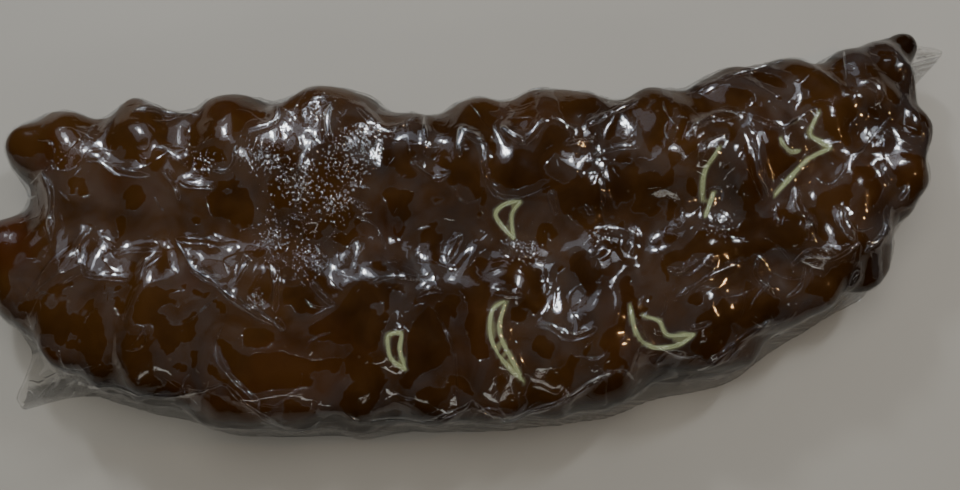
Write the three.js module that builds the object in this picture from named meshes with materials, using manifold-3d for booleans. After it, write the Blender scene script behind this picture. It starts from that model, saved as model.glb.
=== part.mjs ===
// A life-size model of a large prepared sea cucumber lying flat on its sole.
// Two swollen rolls of body wall lie side by side along a deep furrow down the back. Each roll is
// a row of fat ribs with sharp clefts between them, and rounded warts crowd its hind third and rims.
// Millimetres, +Z up, with the sole on z = 0. The mouth end is at -X and the vent end at +X,
// so the animal's right side is at +Y and its left side at -Y.
import * as THREE from "three";
import { mergeVertices } from "three/addons/utils/BufferGeometryUtils.js";
import Module from "manifold-3d";

const wasm = await Module();
wasm.setup();

// Driving dimensions
const CUT = 0.3; // the gap left between two nodes that touch
const SOLE_HEIGHT = 9; // the level at which the sole is parted from the rolls above it
const SUNK = 4; // how far each rib reaches below the floor before it is cut flat
const FURROW_OVERLAP = 5; // how far a rib crosses the furrow into the opposite roll
const CLEFT_OVERLAP = 1.42; // a rib's width against the distance between its two clefts
const RIB_BLUNTNESS = 0.54; // under 1 makes a rib's two ends blunter than an ellipsoid's
const RIB_SWAY = 2.2; // how far a rib bends to and fro along its length
const RIB_BEND = 3; // how quickly it bends to and fro, in radians from its middle to its end
const RIB_SIDES = 14;
const RIB_RINGS = 10;
const WART_DEPTH = 1.1; // how far a wart's centre lies below its top, against its smaller half width
const WART_SIDES = 10;
const WART_RINGS = 7;
const CORE_DEPTH = 9; // how deep the smooth core lies below the crest and inside the rims
const CORE_SUNK = 12; // how far the core reaches below the floor before it is cut flat
const CORE_BLUNTNESS = 0.5;
const CORE_SIDES = 14;
const CORE_RINGS = 20;
const CORE_FROM = 24; // where the core begins along the furrow
const CORE_TO = 402; // where it ends
const PUCKER_DEPTH = 9; // how far a body opening's puckered bead goes into the end of the body
const PUCKER_SIDES = 24;
const PUCKER_RINGS = 8;
const FLUTE = 0.12; // how deep the folds of a puckered bead are, against its radius
const DIMPLE = 4; // how deep its middle is drawn in
const HEADROOM = 120; // well above the highest crest
const OUTSIDE = 130; // well past either rim
const END_PAST = 60; // well past either end
const PRISM_STEPS = 16; // steps in which a prism's sides follow the furrow
const FURROW_STEPS = 400; // steps in which the furrow's length is measured
const WELD = 1e-4; // points closer than this are one

// The furrow's plan, as points on the ground from the mouth end to the vent end
const FURROW = [
  [-202, 20],
  [-147, 3],
  [-70, -5],
  [8, -1],
  [85, 6],
  [125, 21],
  [155, 40],
  [188, 72],
];

// Each roll's ribs in order from the mouth end. A cleft closes each rib, at one distance along the
// furrow by the furrow itself and at another by the rim. reach is how far the rib stands out from
// the furrow, and crest is its height.
const RIGHT_ROLL = {
  side: 1,
  start: { furrow: 30, rim: 12 },
  ribs: [
    { furrow: 62, rim: 46, reach: 46, crest: 44 },
    { furrow: 98, rim: 84, reach: 56, crest: 48 },
    { furrow: 127, rim: 122, reach: 65, crest: 52 },
    { furrow: 170, rim: 169, reach: 68, crest: 54 },
    { furrow: 190, rim: 192, reach: 58, crest: 49 },
    { furrow: 208, rim: 218, reach: 60, crest: 51 },
    { furrow: 254, rim: 262, reach: 62, crest: 51 },
    { furrow: 300, rim: 307, reach: 58, crest: 50 },
    { furrow: 346, rim: 354, reach: 59, crest: 47 },
    { furrow: 370, rim: 379, reach: 50, crest: 43 },
    { furrow: 390, rim: 403, reach: 37, crest: 39 },
    { furrow: 404, rim: 417, reach: 25, crest: 33 },
  ],
};
const LEFT_ROLL = {
  side: -1,
  start: { furrow: 28, rim: 25 },
  ribs: [
    { furrow: 43, rim: 48, reach: 45, crest: 43 },
    { furrow: 58, rim: 66, reach: 56, crest: 46 },
    { furrow: 73, rim: 78, reach: 61, crest: 46 },
    { furrow: 94, rim: 97, reach: 65, crest: 50 },
    { furrow: 148, rim: 151, reach: 70, crest: 54 },
    { furrow: 174, rim: 172, reach: 71, crest: 52 },
    { furrow: 193, rim: 192, reach: 71, crest: 50 },
    { furrow: 216, rim: 219, reach: 71, crest: 52 },
    { furrow: 233, rim: 237, reach: 69, crest: 50 },
    { furrow: 263, rim: 266, reach: 67, crest: 51 },
    { furrow: 288, rim: 300, reach: 60, crest: 46 },
    { furrow: 306, rim: 318, reach: 49, crest: 44 },
    { furrow: 326, rim: 338, reach: 43, crest: 43 },
    { furrow: 344, rim: 356, reach: 40, crest: 42 },
    { furrow: 360, rim: 369, reach: 34, crest: 40 },
    { furrow: 373, rim: 380, reach: 28, crest: 37 },
    { furrow: 386, rim: 391, reach: 19, crest: 32 },
  ],
};

// The rounded warts and end lobes: where each stands, its half length along the furrow, its half
// width across it, and the height of its top
const WARTS = [
  { along: 21, across: 24, long: 19, wide: 15, top: 39 },
  { along: 25, across: -20, long: 17, wide: 18, top: 41 },
  { along: 45, across: 11, long: 12, wide: 14, top: 44 },
  { along: 71, across: 13, long: 14, wide: 16, top: 46 },
  { along: 55, across: 47, long: 13, wide: 11, top: 38 },
  { along: 97, across: 15, long: 11, wide: 17, top: 49 },
  { along: 128, across: 40, long: 9, wide: 18, top: 51 },
  { along: 174, across: 19, long: 11, wide: 15, top: 49 },
  { along: 191, across: 14, long: 10, wide: 14, top: 49 },
  { along: 222, across: 28, long: 13, wide: 22, top: 52 },
  { along: 245, across: 16, long: 11, wide: 16, top: 50 },
  { along: 238, across: 48, long: 22, wide: 14, top: 46 },
  { along: 276, across: 18, long: 15, wide: 16, top: 51 },
  { along: 283, across: 47, long: 18, wide: 13, top: 44 },
  { along: 296, across: 29, long: 11, wide: 15, top: 50 },
  { along: 313, across: 18, long: 10, wide: 18, top: 49 },
  { along: 326, across: 46, long: 15, wide: 13, top: 42 },
  { along: 332, across: 17, long: 11, wide: 15, top: 48 },
  { along: 353, across: 39, long: 12, wide: 11, top: 41 },
  { along: 356, across: 15, long: 11, wide: 17, top: 46 },
  { along: 385, across: 13, long: 12, wide: 13, top: 42 },
  { along: 404, across: 17, long: 14, wide: 13, top: 35 },
  { along: 417, across: 17, long: 9, wide: 8, top: 29 },
  { along: 113, across: -50, long: 17, wide: 14, top: 46 },
  { along: 139, across: -28, long: 15, wide: 22, top: 54 },
  { along: 165, across: -18, long: 14, wide: 15, top: 52 },
  { along: 218, across: -22, long: 12, wide: 18, top: 53 },
  { along: 277, across: -16, long: 12, wide: 13, top: 49 },
  { along: 292, across: -15, long: 11, wide: 13, top: 48 },
  { along: 284, across: -38, long: 13, wide: 13, top: 46 },
  { along: 300, across: -35, long: 11, wide: 12, top: 44 },
  { along: 307, across: -15, long: 11, wide: 12, top: 47 },
  { along: 321, across: -17, long: 11, wide: 13, top: 47 },
  { along: 319, across: -38, long: 11, wide: 10, top: 41 },
  { along: 337, across: -26, long: 11, wide: 12, top: 44 },
  { along: 341, across: -41, long: 10, wide: 8, top: 32 },
  { along: 352, across: -14, long: 12, wide: 13, top: 45 },
  { along: 369, across: -18, long: 12, wide: 12, top: 41 },
  { along: 385, across: -8, long: 11, wide: 12, top: 38 },
];

// The two body openings, puckered beads that face along the furrow at its ends
const MOUTH = { along: 21, across: 3, height: 19, radius: 7, folds: 8, facing: -1 };
const VENT = { along: 407, across: 2, height: 17, radius: 6, folds: 6, facing: 1 };

// Where each length of a roll begins and ends: a cleft of the right roll and one of the left,
// counted from the mouth end
const LENGTHS = [
  { name: "mouth_end", right: 2, left: 3 },
  { name: "fore", right: 4, left: 5 },
  { name: "middle", right: 7, left: 9 },
  { name: "rear", right: 9, left: 13 },
  { name: "vent_end", right: 12, left: 17 },
];

const furrowCurve = new THREE.CatmullRomCurve3(FURROW.map(([x, y]) => new THREE.Vector3(x, y, 0)));
furrowCurve.arcLengthDivisions = FURROW_STEPS;
const FURROW_LENGTH = furrowCurve.getLength();

// The point at a distance along the furrow, a distance to the animal's right of it and a height
function place(along, across, height) {
  const u = THREE.MathUtils.clamp(along / FURROW_LENGTH, 0, 1);
  const point = furrowCurve.getPointAt(u);
  const ahead = furrowCurve.getTangentAt(u);
  const past = along - u * FURROW_LENGTH;
  return new THREE.Vector3(
    point.x + past * ahead.x - across * ahead.y,
    point.y + past * ahead.y + across * ahead.x,
    height,
  );
}

// A three.js geometry as a solid
function solid(geometry) {
  const bare = geometry.clone();
  bare.deleteAttribute("normal");
  bare.deleteAttribute("uv");
  const merged = mergeVertices(bare, WELD);
  return new wasm.Manifold(
    new wasm.Mesh({
      numProp: 3,
      vertProperties: new Float32Array(merged.attributes.position.array),
      triVerts: new Uint32Array(merged.index.array),
    }),
  );
}

// A solid as a three.js geometry
function geometryOf(body) {
  const mesh = body.getMesh();
  const geometry = new THREE.BufferGeometry();
  geometry.setAttribute("position", new THREE.BufferAttribute(mesh.vertProperties, 3));
  geometry.setIndex(new THREE.BufferAttribute(mesh.triVerts, 1));
  geometry.computeVertexNormals();
  return geometry;
}

function joined(solids) {
  return solids.reduce((whole, piece) => whole.add(piece));
}

// The largest closed surface of a solid, which drops loose scraps and fills sealed hollows
function largest(body) {
  return body.decompose().reduce((best, piece) => (piece.volume() > best.volume() ? piece : best));
}

// A ball of unit radius with its poles on y, each point moved by shape(x, y, z)
function shapedBall(sides, rings, shape) {
  const ball = new THREE.SphereGeometry(1, sides, rings);
  const position = ball.attributes.position;
  for (let i = 0; i < position.count; i++) {
    const moved = shape(position.getX(i), position.getY(i), position.getZ(i));
    position.setXYZ(i, moved.x, moved.y, moved.z);
  }
  return solid(ball);
}

// How much wider a ring of a ball becomes when the ball's two ends are made blunter
function swell(x, z, bluntness) {
  const ring = Math.hypot(x, z);
  return ring > 1e-6 ? ring ** (bluntness - 1) : 0;
}

// One fat rib of a roll: a blunt sausage that runs from the furrow over the crest to the rim,
// between the clefts before and after it
function rib(side, before, after) {
  const top = after.crest;
  const halfLength = (after.reach + FURROW_OVERLAP) / 2;
  const centre = (after.reach - FURROW_OVERLAP) / 2;
  return shapedBall(RIB_SIDES, RIB_RINGS, (x, y, z) => {
    const across = centre + y * halfLength;
    const outward = THREE.MathUtils.clamp(across / after.reach, 0, 1);
    const from = THREE.MathUtils.lerp(before.furrow, before.rim, outward);
    const to = THREE.MathUtils.lerp(after.furrow, after.rim, outward);
    const wider = swell(x, z, RIB_BLUNTNESS);
    const sway = RIB_SWAY * Math.sin(RIB_BEND * y + after.rim);
    const along = (from + to) / 2 + sway + side * x * wider * CLEFT_OVERLAP * (to - from) / 2;
    return place(along, side * across, (top - SUNK) / 2 + z * wider * (top + SUNK) / 2);
  });
}

function ribsOf({ side, start, ribs }) {
  return ribs.map((after, i) => rib(side, i > 0 ? ribs[i - 1] : start, after));
}

// One rounded wart, sunk well into the roll that it stands on
function wart({ along, across, long, wide, top }) {
  const radius = WART_DEPTH * Math.min(long, wide);
  return shapedBall(WART_SIDES, WART_RINGS, (x, y, z) =>
    place(along + x * long, across + y * wide, top - radius + z * radius),
  );
}

// A body opening: a round bead, fluted round its edge and drawn in at its middle
function pucker({ along, across, height, radius, folds, facing }) {
  return shapedBall(PUCKER_SIDES, PUCKER_RINGS, (x, y, z) => {
    const ring = Math.hypot(x, z);
    const flute = 1 + FLUTE * ring * Math.cos(folds * Math.atan2(z, x));
    const drawnIn = y > 0 ? DIMPLE * (1 - ring) ** 2 : 0;
    return place(
      along + facing * (y * PUCKER_DEPTH - drawnIn),
      across + facing * -x * radius * flute,
      height + z * radius * flute,
    );
  });
}

// The plain round socket that a puckered bead sits in, with the gap all round it
function socket({ along, across, height, radius, facing }) {
  const open = radius * (1 + FLUTE) + CUT;
  const deep = PUCKER_DEPTH + 2 * CUT;
  return shapedBall(PUCKER_SIDES / 2, PUCKER_RINGS, (x, y, z) =>
    place(along + facing * y * deep, across + facing * -x * open, height + z * open),
  );
}

// A roll's reach or crest at a distance along the furrow, read between the middles of its ribs
function sizeAt(roll, distance, size) {
  const middles = roll.ribs.map((one, i) => {
    const before = i > 0 ? roll.ribs[i - 1] : roll.start;
    return (before.furrow + before.rim + one.furrow + one.rim) / 4;
  });
  const next = middles.findIndex((middle) => middle > distance);
  if (next === 0) return roll.ribs[0][size];
  if (next < 0) return roll.ribs.at(-1)[size];
  const share = (distance - middles[next - 1]) / (middles[next] - middles[next - 1]);
  return THREE.MathUtils.lerp(roll.ribs[next - 1][size], roll.ribs[next][size], share);
}

// The smooth core that fills both rolls below their clefts and the furrow
function core() {
  return shapedBall(CORE_SIDES, CORE_RINGS, (x, y, z) => {
    const distance = THREE.MathUtils.mapLinear(y, 1, -1, CORE_FROM, CORE_TO);
    const roll = x < 0 ? LEFT_ROLL : RIGHT_ROLL;
    const reach = sizeAt(roll, distance, "reach") - CORE_DEPTH;
    const top = sizeAt(RIGHT_ROLL, distance, "crest") - CORE_DEPTH;
    const wider = swell(x, z, CORE_BLUNTNESS);
    return place(distance, x * wider * reach, (top - CORE_SUNK) / 2 + z * wider * (top + CORE_SUNK) / 2);
  });
}

// A tall prism over a stretch of the body, between two distances from the furrow and two heights
function stretch([from, to], [inner, outer], [low, high]) {
  const outline = [];
  for (let i = 0; i <= PRISM_STEPS; i++) {
    outline.push(place(THREE.MathUtils.lerp(from, to, i / PRISM_STEPS), inner, 0));
  }
  for (let i = PRISM_STEPS; i >= 0; i--) {
    outline.push(place(THREE.MathUtils.lerp(from, to, i / PRISM_STEPS), outer, 0));
  }
  const shape = new THREE.Shape(outline.map(({ x, y }) => new THREE.Vector2(x, y)));
  const prism = new THREE.ExtrudeGeometry(shape, { depth: high - low, bevelEnabled: false });
  return solid(prism.translate(0, 0, low));
}

const whole = joined([core(), ...ribsOf(RIGHT_ROLL), ...ribsOf(LEFT_ROLL), ...WARTS.map(wart)]);
const flesh = largest(whole).subtract(socket(MOUTH)).subtract(socket(VENT));

const part = new THREE.Group();
function addNode(name, body, material) {
  const mesh = new THREE.Mesh(geometryOf(largest(body)), material);
  mesh.name = name;
  part.add(mesh);
}

const backSkin = new THREE.MeshStandardMaterial({ color: 0x2e1509, roughness: 0.2, metalness: 0 });
const soleSkin = new THREE.MeshStandardMaterial({ color: 0x3a1d0e, roughness: 0.3, metalness: 0 });
const mouthSkin = new THREE.MeshStandardMaterial({ color: 0x4a2410, roughness: 0.25, metalness: 0 });
addNode("mouth", pucker(MOUTH), mouthSkin);
addNode("vent", pucker(VENT), mouthSkin);
const wholeLength = [-END_PAST, FURROW_LENGTH + END_PAST];
addNode("sole", flesh.intersect(stretch(wholeLength, [-OUTSIDE, OUTSIDE], [0, SOLE_HEIGHT])), soleSkin);

// Adds one node for each length of a roll, parted at its clefts
function addLengths({ side, ribs }, sideName) {
  let from = -END_PAST;
  LENGTHS.forEach((length, i) => {
    const cleft = ribs[length[sideName] - 1];
    const to = i < LENGTHS.length - 1 ? (cleft.furrow + cleft.rim) / 2 : FURROW_LENGTH + END_PAST;
    const across = side > 0 ? [CUT / 2, OUTSIDE] : [-OUTSIDE, -CUT / 2];
    const prism = stretch([from + CUT / 2, to - CUT / 2], across, [SOLE_HEIGHT + CUT, HEADROOM]);
    addNode(length.name + "_" + sideName, flesh.intersect(prism), backSkin);
    from = to;
  });
}
addLengths(RIGHT_ROLL, "right");
addLengths(LEFT_ROLL, "left");

// The model stands with the middle of its box over the origin
const middle = new THREE.Box3().setFromObject(part).getCenter(new THREE.Vector3());
part.position.set(-middle.x, -middle.y, 0);

export default part;
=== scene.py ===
"""Dresses the solids of a large prepared sea cucumber.

The flesh is one glossy brown skin over all the lengths of the body, with a puckered mouth and vent
in their own pieces. A thin clear film lies tight over the flesh, bridges its clefts and stands up
in creases, and small bubbles are caught under it.
"""

import logging
import math
import random
from dataclasses import dataclass, field
from enum import Enum
from typing import Any, Protocol

import bmesh
import bpy
import numpy as np
from mathutils import Matrix, Quaternion, Vector, noise
from mathutils.bvhtree import BVHTree
from mathutils.kdtree import KDTree


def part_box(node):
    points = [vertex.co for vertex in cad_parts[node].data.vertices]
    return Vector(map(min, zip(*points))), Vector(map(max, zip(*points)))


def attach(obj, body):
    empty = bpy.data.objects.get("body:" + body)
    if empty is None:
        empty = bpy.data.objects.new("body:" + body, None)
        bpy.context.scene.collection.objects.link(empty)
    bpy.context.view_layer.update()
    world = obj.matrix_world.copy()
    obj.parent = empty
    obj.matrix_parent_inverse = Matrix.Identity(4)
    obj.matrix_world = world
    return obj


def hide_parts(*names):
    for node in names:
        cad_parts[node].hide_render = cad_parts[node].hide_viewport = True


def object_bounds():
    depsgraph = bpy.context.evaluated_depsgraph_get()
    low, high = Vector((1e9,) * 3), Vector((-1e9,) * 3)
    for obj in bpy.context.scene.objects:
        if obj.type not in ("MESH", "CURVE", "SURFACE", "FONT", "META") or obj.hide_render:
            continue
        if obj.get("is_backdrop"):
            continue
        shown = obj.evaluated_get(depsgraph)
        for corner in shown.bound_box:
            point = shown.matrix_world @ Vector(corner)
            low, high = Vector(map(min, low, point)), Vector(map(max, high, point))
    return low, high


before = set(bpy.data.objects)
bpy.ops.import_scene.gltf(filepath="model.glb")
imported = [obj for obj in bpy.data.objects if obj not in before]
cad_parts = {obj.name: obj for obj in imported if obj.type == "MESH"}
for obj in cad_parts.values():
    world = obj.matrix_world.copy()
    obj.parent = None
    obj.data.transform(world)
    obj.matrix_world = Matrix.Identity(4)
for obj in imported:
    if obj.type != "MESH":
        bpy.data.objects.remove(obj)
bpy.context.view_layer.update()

MM = 0.001
SAME_PLACE = 0.001 * MM
# Keeps a division by a length from failing.
TINY = 1e-12
PHOTO_WIDTH, PHOTO_HEIGHT = 960, 490
# How far the random field moves along for each seed.
FIELD_SHIFT = (3.1, 7.7, 1.3)
# How steeply a fold rises at its two ends.
TAPER = 5
# How many bubbles a pixel make a full froth.
FULL_FROTH = 0.12
# The directions that count as sky: straight up, and rings of so many at so many degrees up.
SKY_RINGS = ((5, 60), (7, 30))
BODY = "root"

log = logging.getLogger("sea_cucumber")

Colour = tuple[float, float, float]
Pixel = tuple[float, float]
Place = tuple[float, float, float]
Span = tuple[float, float]


class Finish(Protocol):
    """What a piece can be dressed in."""

    def material(self) -> bpy.types.Material:
        """Builds the material."""


def merged_copy(nodes: list[str], swell: float) -> bmesh.types.BMesh:
    """Joins copies of CAD nodes, each a little swollen so that the thin cuts between them close.

    Args:
        nodes: names of the nodes.
        swell: how far each face moves out, in metres.

    Returns:
        One bmesh that holds all the copies.
    """
    joined = bmesh.new()
    for name in nodes:
        one = bmesh.new()
        one.from_mesh(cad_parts[name].data)
        bmesh.ops.remove_doubles(one, verts=one.verts, dist=SAME_PLACE)
        one.normal_update()
        for vertex in one.verts:
            vertex.co += vertex.normal * swell
        pour_in(joined, one)
    return joined


def make_object(name: str, shape: bmesh.types.BMesh) -> bpy.types.Object:
    """Turns a bmesh into an object at the origin, and frees the bmesh."""
    mesh = bpy.data.meshes.new(name)
    shape.to_mesh(mesh)
    shape.free()
    piece = bpy.data.objects.new(name, mesh)
    bpy.context.collection.objects.link(piece)
    return piece


def dress(piece: bpy.types.Object, finish: Finish, shadow: bool = True) -> None:
    """Gives a piece smooth shading and one material.

    Args:
        piece: the piece.
        finish: what it is dressed in.
        shadow: whether it casts a shadow.
    """
    piece.data.shade_smooth()
    piece.data.materials.clear()
    piece.data.materials.append(finish.material())
    piece.visible_shadow = shadow


def carry(piece: bpy.types.Object, name: str, values: np.ndarray | list[float]) -> None:
    """Writes a number on each vertex of a piece, for its material to read.

    Args:
        piece: the piece.
        name: what the numbers are called.
        values: one number for each vertex.
    """
    numbers = piece.data.attributes.new(name, "FLOAT", "POINT")
    numbers.data.foreach_set("value", np.array(values, dtype=np.float32))


def copy_object(piece: bpy.types.Object, name: str) -> bpy.types.Object:
    """Makes a second object with its own copy of a piece's mesh."""
    twin = bpy.data.objects.new(name, piece.data.copy())
    bpy.context.collection.objects.link(twin)
    return twin


def pour_in(whole: bmesh.types.BMesh, part: bmesh.types.BMesh, **carried: float) -> None:
    """Adds one bmesh to another, and frees the one that is added.

    Args:
        whole: what grows.
        part: what is added.
        carried: numbers that each vertex of the part then carries, by name.
    """
    scrap = bpy.data.meshes.new("scrap")
    part.to_mesh(scrap)
    part.free()
    for name, value in carried.items():
        numbers = scrap.attributes.new(name, "FLOAT", "POINT")
        numbers.data.foreach_set("value", [value] * len(scrap.vertices))
    whole.from_mesh(scrap)
    bpy.data.meshes.remove(scrap)


def apply_modifiers(piece: bpy.types.Object) -> None:
    """Gives a piece the mesh that its modifiers make, and takes them off."""
    graph = bpy.context.evaluated_depsgraph_get()
    shaped = bpy.data.meshes.new_from_object(piece.evaluated_get(graph))
    piece.modifiers.clear()
    plain = piece.data
    piece.data = shaped
    bpy.data.meshes.remove(plain)


def remesh(piece: bpy.types.Object, voxel: float, smoothing: int) -> None:
    """Melts a piece into one even closed surface and relaxes it.

    Args:
        piece: the piece to melt.
        voxel: side of the cells in metres.
        smoothing: number of smoothing passes.
    """
    melt = piece.modifiers.new("melt", "REMESH")
    melt.mode = "VOXEL"
    melt.voxel_size = voxel
    relax = piece.modifiers.new("relax", "SMOOTH")
    relax.factor = 0.5
    relax.iterations = smoothing
    apply_modifiers(piece)


def points_of(piece: bpy.types.Object) -> np.ndarray:
    """Returns a piece's vertices as rows of three numbers."""
    flat = np.empty(len(piece.data.vertices) * 3)
    piece.data.vertices.foreach_get("co", flat)
    return flat.reshape(-1, 3)


def normals_of(piece: bpy.types.Object) -> np.ndarray:
    """Returns the normals of a piece's vertices as rows of three numbers."""
    flat = np.empty(len(piece.data.vertices) * 3, dtype=np.float32)
    piece.data.vertex_normals.foreach_get("vector", flat)
    return flat.reshape(-1, 3).astype(float)


def place_points(piece: bpy.types.Object, points: np.ndarray) -> None:
    """Moves a piece's vertices to new places."""
    piece.data.vertices.foreach_set("co", points.ravel())
    piece.data.update()


def shell_of(piece: bpy.types.Object) -> BVHTree:
    """Returns a search tree of a piece's faces."""
    faces = [tuple(face.vertices) for face in piece.data.polygons]
    return BVHTree.FromPolygons([tuple(point) for point in points_of(piece)], faces)


def search_tree(points: list[Vector]) -> KDTree:
    """Returns a search tree of points."""
    tree = KDTree(len(points))
    for index, point in enumerate(points):
        tree.insert(point, index)
    tree.balance()
    return tree


def smooth_step(value: np.ndarray | float, low: float, high: float) -> np.ndarray | float:
    """Rises gently from 0 at low to 1 at high."""
    share = np.clip((value - low) / (high - low), 0, 1)
    return share * share * (3 - 2 * share)


def lumpy(points: np.ndarray, size: float, seed: int) -> np.ndarray:
    """Samples a smooth random field.

    Args:
        points: where to sample it, as rows of three numbers.
        size: spacing of the lumps in metres.
        seed: picks the field.

    Returns:
        One number from about -1 to 1 for each point.
    """
    shift = Vector(FIELD_SHIFT) * seed
    return np.array([noise.noise(Vector(point) / size + shift) for point in points])


def hidden_sky(piece: bpy.types.Object, reach: float) -> np.ndarray:
    """Finds how shut in each vertex of a piece is.

    Args:
        piece: the piece.
        reach: how far away its own surface still shuts out light, in metres.

    Returns:
        For each vertex the share of the sky that is hidden, from 0 to 1.
    """
    shell = shell_of(piece)
    sky = [Vector((0, 0, 1))]
    for count, rise in SKY_RINGS:
        flat = math.cos(math.radians(rise))
        for turn in (math.tau * (index + 0.5) / count for index in range(count)):
            across, aside = flat * math.cos(turn), flat * math.sin(turn)
            sky.append(Vector((across, aside, math.sin(math.radians(rise)))))
    hidden = np.zeros(len(piece.data.vertices))
    for index, vertex in enumerate(piece.data.vertices):
        start = vertex.co + vertex.normal * MM
        seen = [way for way in sky
                if vertex.normal.dot(way) > 0 and shell.ray_cast(start, way, reach)[0] is None]
        hidden[index] = 1 - len(seen) / len(sky)
    return hidden


class Paint:
    """Builds one material out of shader nodes."""

    def __init__(self, name: str) -> None:
        """Starts an empty material."""
        self.material = bpy.data.materials.new(name)
        self.material.use_nodes = True
        self.tree = self.material.node_tree
        self.tree.nodes.clear()

    def node(self, kind: str, settings: dict[str, Any] | None = None,
             **sockets: Any) -> bpy.types.Node:
        """Adds a node.

        Args:
            kind: the node's type.
            settings: its own properties, set first.
            sockets: values or links, by socket name with _ for a space, or in0, in1 for a place.

        Returns:
            The new node.
        """
        made = self.tree.nodes.new(kind)
        for key, value in (settings or {}).items():
            setattr(made, key, value)
        for key, value in sockets.items():
            numbered = key.startswith("in") and key[2:].isdigit()
            socket = made.inputs[int(key[2:]) if numbered else key.replace("_", " ")]
            if isinstance(value, Signal):
                self.tree.links.new(value.socket, socket)
            elif isinstance(value, bpy.types.Node):
                self.tree.links.new(value.outputs[0], socket)
            else:
                socket.default_value = value
        return made

    def signal(self, made: bpy.types.Node, output: str | int = 0) -> "Signal":
        """Wraps one output of a node."""
        return Signal(self, made.outputs[output])

    def place(self) -> "Signal":
        """Returns the point on the surface, in the object's own frame."""
        return self.signal(self.node("ShaderNodeTexCoord"), "Object")

    def grain(self, size: float, detail: float = 3, roughness: float = 0.5,
              warp: float = 0) -> "Signal":
        """Returns cloudy noise from 0 to 1.

        Args:
            size: spacing of the clouds in metres.
            detail: number of finer layers.
            roughness: strength of the finer layers.
            warp: how far the clouds are pulled about.

        Returns:
            The noise.
        """
        made = self.node("ShaderNodeTexNoise", Vector=self.place(), Scale=1 / size, Detail=detail,
                         Roughness=roughness, Distortion=warp)
        return self.signal(made, "Fac")

    def cells(self, size: float) -> "Signal":
        """Returns the distance to the middle of the nearest of many cells.

        Args:
            size: spacing of the cells in metres.

        Returns:
            The distance, as a share of the size.
        """
        made = self.node("ShaderNodeTexVoronoi", Vector=self.place(), Scale=1 / size)
        return self.signal(made, "Distance")

    def carried(self, name: str) -> "Signal":
        """Returns a number that the mesh carries at each vertex."""
        return self.signal(self.node("ShaderNodeAttribute", {"attribute_name": name}), "Fac")

    def blend(self, share: "Signal | float", first: Any, second: Any) -> "Signal":
        """Mixes two colours.

        Args:
            share: how much of the second one, from 0 to 1.
            first: a colour or a signal.
            second: a colour or a signal.

        Returns:
            The mixed colour.
        """
        ends = [end if isinstance(end, Signal) else (*end, 1) for end in (first, second)]
        made = self.node("ShaderNodeMix", {"data_type": "RGBA"}, in0=share, in6=ends[0],
                         in7=ends[1])
        return self.signal(made, 2)

    def bump(self, height: "Signal", depth: float, strength: float = 1) -> "Signal":
        """Returns a normal that shows a height as relief.

        Args:
            height: the height, from 0 to 1.
            depth: the full height in metres.
            strength: how much of it shows.

        Returns:
            The normal.
        """
        made = self.node("ShaderNodeBump", Strength=strength, Distance=depth, Height=height)
        return self.signal(made, "Normal")

    def finish(self, shader: bpy.types.Node) -> bpy.types.Material:
        """Sends a shader to the surface and returns the material."""
        output = self.node("ShaderNodeOutputMaterial")
        self.tree.links.new(shader.outputs[0], output.inputs["Surface"])
        return self.material


@dataclass(frozen=True)
class Signal:
    """One output of a shader node, so that shader maths reads as plain arithmetic."""

    paint: Paint
    socket: bpy.types.NodeSocket

    def _maths(self, operation: str, *terms: "Signal | float") -> "Signal":
        """Adds one Math node over the terms."""
        sockets = {f"in{index}": term for index, term in enumerate(terms)}
        made = self.paint.node("ShaderNodeMath", {"operation": operation}, **sockets)
        return self.paint.signal(made)

    def __add__(self, other: "Signal | float") -> "Signal":
        """Adds."""
        return self._maths("ADD", self, other)

    def __sub__(self, other: "Signal | float") -> "Signal":
        """Takes away."""
        return self._maths("SUBTRACT", self, other)

    def __rsub__(self, other: float) -> "Signal":
        """Takes this away from a number."""
        return self._maths("SUBTRACT", other, self)

    def __mul__(self, other: "Signal | float") -> "Signal":
        """Multiplies."""
        return self._maths("MULTIPLY", self, other)

    def __truediv__(self, other: "Signal | float") -> "Signal":
        """Divides."""
        return self._maths("DIVIDE", self, other)

    def __abs__(self) -> "Signal":
        """Drops the sign."""
        return self._maths("ABSOLUTE", self)

    def step(self, low: float, high: float) -> "Signal":
        """Rises gently from 0 at low to 1 at high."""
        ramp = self.paint.node("ShaderNodeMapRange", {"interpolation_type": "SMOOTHSTEP"},
                               Value=self, in1=low, in2=high)
        return self.paint.signal(ramp)

    def at_most_one(self) -> "Signal":
        """Keeps the value between 0 and 1."""
        return self.paint.signal(self.paint.node("ShaderNodeClamp", Value=self))

    def part(self, axis: str) -> "Signal":
        """Returns one of X, Y and Z of a vector."""
        return self.paint.signal(self.paint.node("ShaderNodeSeparateXYZ", in0=self), axis)


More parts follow.
